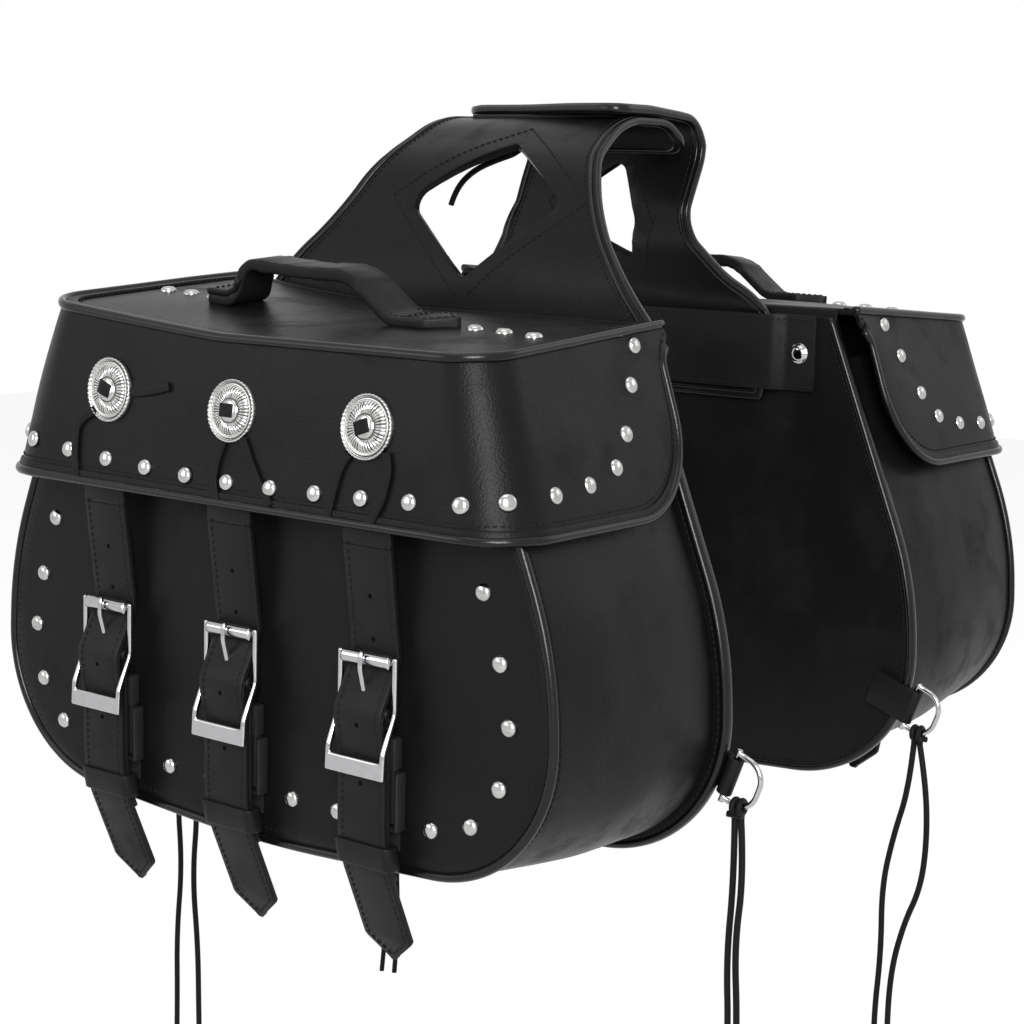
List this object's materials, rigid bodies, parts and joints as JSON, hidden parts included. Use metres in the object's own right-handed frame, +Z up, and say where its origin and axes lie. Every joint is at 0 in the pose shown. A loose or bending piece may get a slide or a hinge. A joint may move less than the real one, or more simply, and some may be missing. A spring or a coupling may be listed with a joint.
{
  "type": "motorcycle saddlebags",
  "caption": "Pair of leather throw-over saddlebags on a seat yoke, with hinged studded lids, buckled straps over hidden clips, and corner rings with hanging laces.",
  "frame": {"origin": "underside centre of the yoke's crown, where it lies on the seat", "axes": "+X forward along the bags, +Y to the left bag, +Z up"},
  "size_m": [0.444, 0.5458, 0.6363],
  "materials": {
    "leather": "smooth-grained black leather with a soft sheen",
    "strap_leather": "black strap leather, stitched along both edges",
    "piping": "glossy black bound edges and piping",
    "chrome": "polished nickel-chrome, slightly worn",
    "clip_plastic": "moulded black acetal with a fine texture",
    "lace": "thin black leather lacing, a little creased",
    "board": "fibreboard covered in black lining cloth",
    "hook_loop": "black hook-and-loop tape"
  },
  "bodies": {
    "right_bag": {"right_back_panel": "leather", "right_front_panel": "leather", "right_gusset": "leather", "right_seam_piping": "piping", "right_front_studs": "chrome", "right_clip_sockets": "clip_plastic", "right_sewn_tabs": "leather", "right_loop_strap": "strap_leather", "right_boards": "board", "right_yoke": "strap_leather", "yoke_patch": "hook_loop", "yoke_tie_lace": "lace"},
    "right_lid": {"right_lid_shell": "leather", "right_lid_piping": "piping", "right_lid_studs": "chrome", "right_handle": "strap_leather", "right_conchos": "chrome", "right_concho_laces": "lace"},
    "right_strap_rear": {"right_strap_rear": "strap_leather", "right_buckle_rear": "chrome", "right_clip_plug_rear": "clip_plastic"},
    "right_strap_middle": {"right_strap_middle": "strap_leather", "right_buckle_middle": "chrome", "right_clip_plug_middle": "clip_plastic"},
    "right_strap_front": {"right_strap_front": "strap_leather", "right_buckle_front": "chrome", "right_clip_plug_front": "clip_plastic"},
    "right_ring_front_set": {"right_ring_front": "chrome", "right_lace_front": "lace"},
    "right_ring_rear_set": {"right_ring_rear": "chrome", "right_lace_rear": "lace"},
    "left_bag": {"left_back_panel": "leather", "left_front_panel": "leather", "left_gusset": "leather", "left_seam_piping": "piping", "left_front_studs": "chrome", "left_clip_sockets": "clip_plastic", "left_sewn_tabs": "leather", "left_loop_strap": "strap_leather", "left_boards": "board", "left_yoke": "strap_leather"},
    "left_lid": {"left_lid_shell": "leather", "left_lid_piping": "piping", "left_lid_studs": "chrome", "left_handle": "strap_leather", "left_conchos": "chrome", "left_concho_laces": "lace"},
    "left_strap_rear": {"left_strap_rear": "strap_leather", "left_buckle_rear": "chrome", "left_clip_plug_rear": "clip_plastic"},
    "left_strap_middle": {"left_strap_middle": "strap_leather", "left_buckle_middle": "chrome", "left_clip_plug_middle": "clip_plastic"},
    "left_strap_front": {"left_strap_front": "strap_leather", "left_buckle_front": "chrome", "left_clip_plug_front": "clip_plastic"},
    "left_ring_front_set": {"left_ring_front": "chrome", "left_lace_front": "lace"},
    "left_ring_rear_set": {"left_ring_rear": "chrome", "left_lace_rear": "lace"}
  },
  "joints": [
    {"name": "yoke_adjust", "type": "slide", "parent": "right_bag", "child": "left_bag", "axis": [0, 1, 0], "range_m": [0, 0.04]},
    {"name": "right_lid_hinge", "type": "hinge", "parent": "right_bag", "child": "right_lid", "pos_m": [0, -0.103, -0.104], "axis": [-1, 0, 0], "range_deg": [0, 95]},
    {"name": "right_strap_rear_swing", "type": "hinge", "parent": "right_lid", "child": "right_strap_rear", "pos_m": [-0.098, -0.2623, -0.216], "axis": [-1, 0, 0], "range_deg": [0, 70]},
    {"name": "right_strap_middle_swing", "type": "hinge", "parent": "right_lid", "child": "right_strap_middle", "pos_m": [-0.003, -0.2623, -0.216], "axis": [-1, 0, 0], "range_deg": [0, 70]},
    {"name": "right_strap_front_swing", "type": "hinge", "parent": "right_lid", "child": "right_strap_front", "pos_m": [0.092, -0.2623, -0.216], "axis": [-1, 0, 0], "range_deg": [0, 70]},
    {"name": "right_ring_front_swing", "type": "hinge", "parent": "right_bag", "child": "right_ring_front_set", "pos_m": [0.20204, -0.1002, -0.336], "axis": [0.3437, 0, 0.9391], "range_deg": [-75, 75]},
    {"name": "right_ring_rear_swing", "type": "hinge", "parent": "right_bag", "child": "right_ring_rear_set", "pos_m": [-0.20204, -0.1002, -0.336], "axis": [-0.3437, 0, 0.9391], "range_deg": [-75, 75]},
    {"name": "left_lid_hinge", "type": "hinge", "parent": "left_bag", "child": "left_lid", "pos_m": [0, 0.103, -0.104], "axis": [1, 0, 0], "range_deg": [0, 95]},
    {"name": "left_strap_rear_swing", "type": "hinge", "parent": "left_lid", "child": "left_strap_rear", "pos_m": [-0.098, 0.2623, -0.216], "axis": [1, 0, 0], "range_deg": [0, 70]},
    {"name": "left_strap_middle_swing", "type": "hinge", "parent": "left_lid", "child": "left_strap_middle", "pos_m": [-0.003, 0.2623, -0.216], "axis": [1, 0, 0], "range_deg": [0, 70]},
    {"name": "left_strap_front_swing", "type": "hinge", "parent": "left_lid", "child": "left_strap_front", "pos_m": [0.092, 0.2623, -0.216], "axis": [1, 0, 0], "range_deg": [0, 70]},
    {"name": "left_ring_front_swing", "type": "hinge", "parent": "left_bag", "child": "left_ring_front_set", "pos_m": [0.20204, 0.1002, -0.336], "axis": [0.3437, 0, 0.9391], "range_deg": [-75, 75]},
    {"name": "left_ring_rear_swing", "type": "hinge", "parent": "left_bag", "child": "left_ring_rear_set", "pos_m": [-0.20204, 0.1002, -0.336], "axis": [-0.3437, 0, 0.9391], "range_deg": [-75, 75]}
  ]
}
